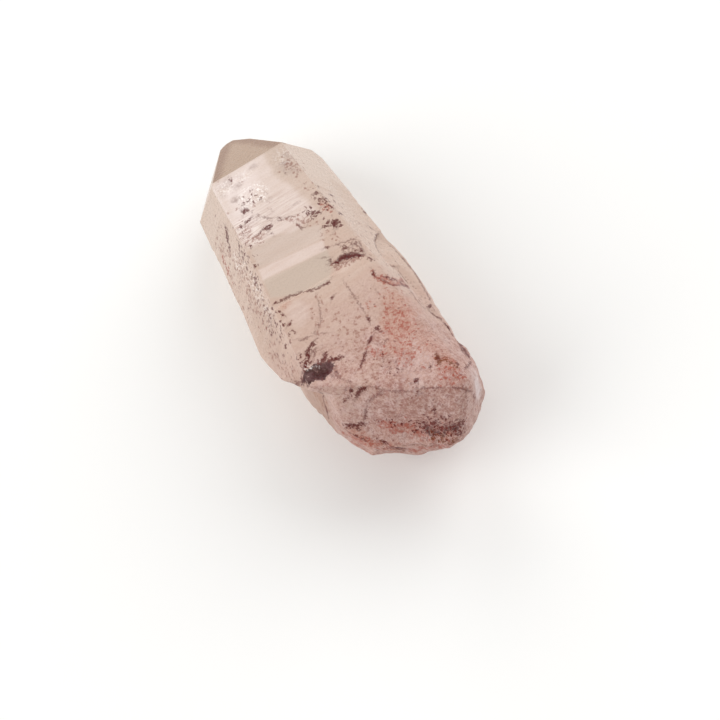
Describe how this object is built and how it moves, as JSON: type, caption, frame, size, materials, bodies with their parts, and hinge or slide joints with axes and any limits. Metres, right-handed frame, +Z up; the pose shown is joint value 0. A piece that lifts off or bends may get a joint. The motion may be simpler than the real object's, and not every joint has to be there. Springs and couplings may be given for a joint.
{
  "type": "quartz crystal",
  "caption": "Stout pink quartz point: a flat-faced prism with a chisel-shaped tip and a rough broken root, lying on one prism face.",
  "frame": {"origin": "middle of the underside, on the prism face it rests on", "axes": "+Y along the growth axis towards the tip, +Z up from the face it rests on"},
  "size_m": [0.0446, 0.12, 0.0382],
  "materials": {
    "quartz": "glossy flat crystal faces, milky translucent pink, with a duller broken root"
  },
  "bodies": {
    "root": {"quartz_crystal": "quartz"}
  },
  "joints": []
}
